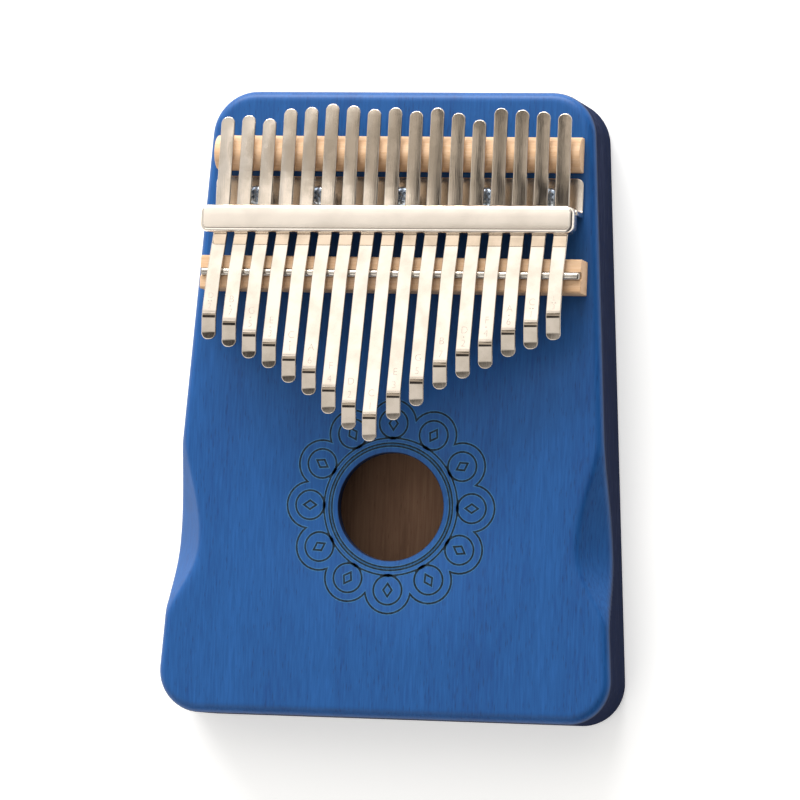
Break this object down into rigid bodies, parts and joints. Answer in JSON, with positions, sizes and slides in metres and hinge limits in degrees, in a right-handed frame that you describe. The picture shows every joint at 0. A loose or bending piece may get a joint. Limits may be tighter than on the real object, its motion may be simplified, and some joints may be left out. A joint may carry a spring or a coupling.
{
  "type": "thumb piano",
  "caption": "Box thumb piano: hollow stained-wood body with a round sound hole, and spring-steel tines held over two bridges by a screwed bracket and a pressure bar.",
  "frame": {"origin": "centre of the back face that the box lies on", "axes": "+Z out of the soundboard, +Y along the box to the rear ends of the tines, +X to the right seen from the face"},
  "size_m": [0.1368, 0.185, 0.042],
  "materials": {
    "stained_wood": "blue-stained close-grained wood, satin lacquer",
    "stained_wood_side": "dark blue stained wood, satin lacquer",
    "inner_wood": "bare wood",
    "bridge_wood": "sanded beech",
    "rod_steel": "drawn steel wire",
    "bracket_plating": "polished nickel plate",
    "screw_plating": "blue zinc plate",
    "tine_steel": "nickel-plated spring steel"
  },
  "bodies": {
    "box": {"soundboard": "stained_wood", "side_rim": "stained_wood_side", "back_panel": "stained_wood_side", "screw_block": "inner_wood", "rear_bridge": "bridge_wood", "front_bridge": "bridge_wood", "front_rod": "rod_steel", "bracket": "bracket_plating", "pressure_bar": "bracket_plating", "bracket_screws": "screw_plating", "tine_01_shank": "tine_steel", "tine_02_shank": "tine_steel", "tine_03_shank": "tine_steel", "tine_04_shank": "tine_steel", "tine_05_shank": "tine_steel", "tine_06_shank": "tine_steel", "tine_07_shank": "tine_steel", "tine_08_shank": "tine_steel", "tine_09_shank": "tine_steel", "tine_10_shank": "tine_steel", "tine_11_shank": "tine_steel", "tine_12_shank": "tine_steel", "tine_13_shank": "tine_steel", "tine_14_shank": "tine_steel", "tine_15_shank": "tine_steel", "tine_16_shank": "tine_steel", "tine_17_shank": "tine_steel"},
    "reed_01": {"tine_01_reed": "tine_steel"},
    "reed_02": {"tine_02_reed": "tine_steel"},
    "reed_03": {"tine_03_reed": "tine_steel"},
    "reed_04": {"tine_04_reed": "tine_steel"},
    "reed_05": {"tine_05_reed": "tine_steel"},
    "reed_06": {"tine_06_reed": "tine_steel"},
    "reed_07": {"tine_07_reed": "tine_steel"},
    "reed_08": {"tine_08_reed": "tine_steel"},
    "reed_09": {"tine_09_reed": "tine_steel"},
    "reed_10": {"tine_10_reed": "tine_steel"},
    "reed_11": {"tine_11_reed": "tine_steel"},
    "reed_12": {"tine_12_reed": "tine_steel"},
    "reed_13": {"tine_13_reed": "tine_steel"},
    "reed_14": {"tine_14_reed": "tine_steel"},
    "reed_15": {"tine_15_reed": "tine_steel"},
    "reed_16": {"tine_16_reed": "tine_steel"},
    "reed_17": {"tine_17_reed": "tine_steel"}
  },
  "joints": [
    {"name": "tine_01_pluck", "type": "hinge", "parent": "box", "child": "reed_01", "pos_m": [-0.05102, 0.03435, 0.03534], "axis": [1, 0, 0], "range_deg": [-4, 4], "stiffness_Nm_per_rad": 7.879},
    {"name": "tine_02_pluck", "type": "hinge", "parent": "box", "child": "reed_02", "pos_m": [-0.04465, 0.03402, 0.03539], "axis": [1, 0, 0], "range_deg": [-4, 4], "stiffness_Nm_per_rad": 7.106},
    {"name": "tine_03_pluck", "type": "hinge", "parent": "box", "child": "reed_03", "pos_m": [-0.03827, 0.03352, 0.03547], "axis": [1, 0, 0], "range_deg": [-4, 4], "stiffness_Nm_per_rad": 6.192},
    {"name": "tine_04_pluck", "type": "hinge", "parent": "box", "child": "reed_04", "pos_m": [-0.03189, 0.03309, 0.03554], "axis": [1, 0, 0], "range_deg": [-4, 4], "stiffness_Nm_per_rad": 5.584},
    {"name": "tine_05_pluck", "type": "hinge", "parent": "box", "child": "reed_05", "pos_m": [-0.02551, 0.03246, 0.03564], "axis": [1, 0, 0], "range_deg": [-4, 4], "stiffness_Nm_per_rad": 4.866},
    {"name": "tine_06_pluck", "type": "hinge", "parent": "box", "child": "reed_06", "pos_m": [-0.01913, 0.03192, 0.03572], "axis": [1, 0, 0], "range_deg": [-4, 4], "stiffness_Nm_per_rad": 4.388},
    {"name": "tine_07_pluck", "type": "hinge", "parent": "box", "child": "reed_07", "pos_m": [-0.01276, 0.03111, 0.03585], "axis": [1, 0, 0], "range_deg": [-4, 4], "stiffness_Nm_per_rad": 3.824},
    {"name": "tine_08_pluck", "type": "hinge", "parent": "box", "child": "reed_08", "pos_m": [-0.00638, 0.03043, 0.03596], "axis": [1, 0, 0], "range_deg": [-4, 4], "stiffness_Nm_per_rad": 3.449},
    {"name": "tine_09_pluck", "type": "hinge", "parent": "box", "child": "reed_09", "pos_m": [0, 0.02993, 0.03604], "axis": [1, 0, 0], "range_deg": [-4, 4], "stiffness_Nm_per_rad": 3.219},
    {"name": "tine_10_pluck", "type": "hinge", "parent": "box", "child": "reed_10", "pos_m": [0.00638, 0.03089, 0.03589], "axis": [1, 0, 0], "range_deg": [-4, 4], "stiffness_Nm_per_rad": 3.694},
    {"name": "tine_11_pluck", "type": "hinge", "parent": "box", "child": "reed_11", "pos_m": [0.01276, 0.03153, 0.03579], "axis": [1, 0, 0], "range_deg": [-4, 4], "stiffness_Nm_per_rad": 4.096},
    {"name": "tine_12_pluck", "type": "hinge", "parent": "box", "child": "reed_12", "pos_m": [0.01913, 0.03229, 0.03567], "axis": [1, 0, 0], "range_deg": [-4, 4], "stiffness_Nm_per_rad": 4.701},
    {"name": "tine_13_pluck", "type": "hinge", "parent": "box", "child": "reed_13", "pos_m": [0.02551, 0.03279, 0.03559], "axis": [1, 0, 0], "range_deg": [-4, 4], "stiffness_Nm_per_rad": 5.213},
    {"name": "tine_14_pluck", "type": "hinge", "parent": "box", "child": "reed_14", "pos_m": [0.03189, 0.03324, 0.03551], "axis": [1, 0, 0], "range_deg": [-4, 4], "stiffness_Nm_per_rad": 5.78},
    {"name": "tine_15_pluck", "type": "hinge", "parent": "box", "child": "reed_15", "pos_m": [0.03827, 0.03377, 0.03543], "axis": [1, 0, 0], "range_deg": [-4, 4], "stiffness_Nm_per_rad": 6.633},
    {"name": "tine_16_pluck", "type": "hinge", "parent": "box", "child": "reed_16", "pos_m": [0.04465, 0.03413, 0.03537], "axis": [1, 0, 0], "range_deg": [-4, 4], "stiffness_Nm_per_rad": 7.355},
    {"name": "tine_17_pluck", "type": "hinge", "parent": "box", "child": "reed_17", "pos_m": [0.05102, 0.03455, 0.0353], "axis": [1, 0, 0], "range_deg": [-4, 4], "stiffness_Nm_per_rad": 8.441}
  ]
}
